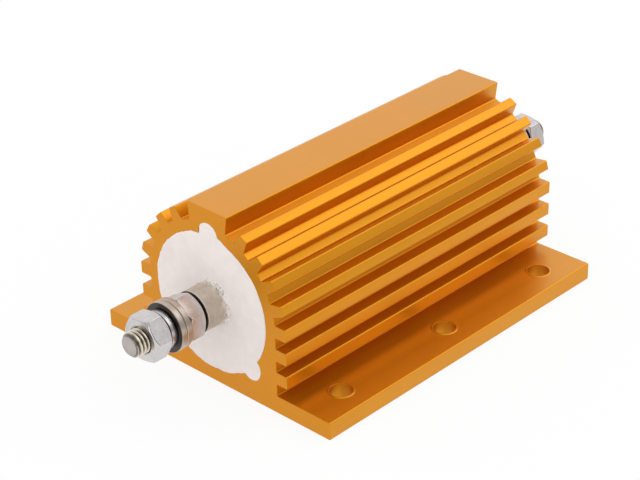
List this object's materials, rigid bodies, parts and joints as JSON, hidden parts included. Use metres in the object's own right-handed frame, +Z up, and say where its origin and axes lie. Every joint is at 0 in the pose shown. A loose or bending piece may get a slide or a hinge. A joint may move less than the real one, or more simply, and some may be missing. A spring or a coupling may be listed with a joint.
{
  "type": "aluminium housed power resistor",
  "caption": "Wirewound power resistor in a finned, flanged aluminium extrusion with cement-potted ends and threaded terminals carrying nuts and washers.",
  "frame": {"origin": "middle of the mounting face under the base plate", "axes": "+X along the extrusion and through both terminals, +Z up off the mounting face"},
  "size_m": [0.1404, 0.0714, 0.0439],
  "materials": {
    "gold_anodised_aluminium": "satin gold anodised extrusion",
    "white_cement": "cast cement, matte",
    "steatite": "unglazed steatite ceramic",
    "resistance_alloy": "drawn nickel-chromium wire",
    "plated_sheet": "tin-plated pressed steel",
    "nickel_plate": "dull nickel plate",
    "bright_zinc": "bright zinc plate",
    "spring_steel": "zinc-plated spring steel"
  },
  "bodies": {
    "root": {"housing": "gold_anodised_aluminium", "potting": "white_cement", "ceramic_core": "steatite", "resistance_winding": "resistance_alloy", "end_cap_front": "plated_sheet", "end_cap_rear": "plated_sheet", "terminal_stud_front": "nickel_plate", "terminal_stud_rear": "nickel_plate", "inner_nut_front": "bright_zinc", "inner_nut_rear": "bright_zinc", "inner_flat_washer_front": "bright_zinc", "inner_flat_washer_rear": "bright_zinc", "outer_flat_washer_front": "bright_zinc", "outer_flat_washer_rear": "bright_zinc", "spring_washer_front": "spring_steel", "spring_washer_rear": "spring_steel", "outer_nut_front": "bright_zinc", "outer_nut_rear": "bright_zinc"}
  },
  "joints": []
}
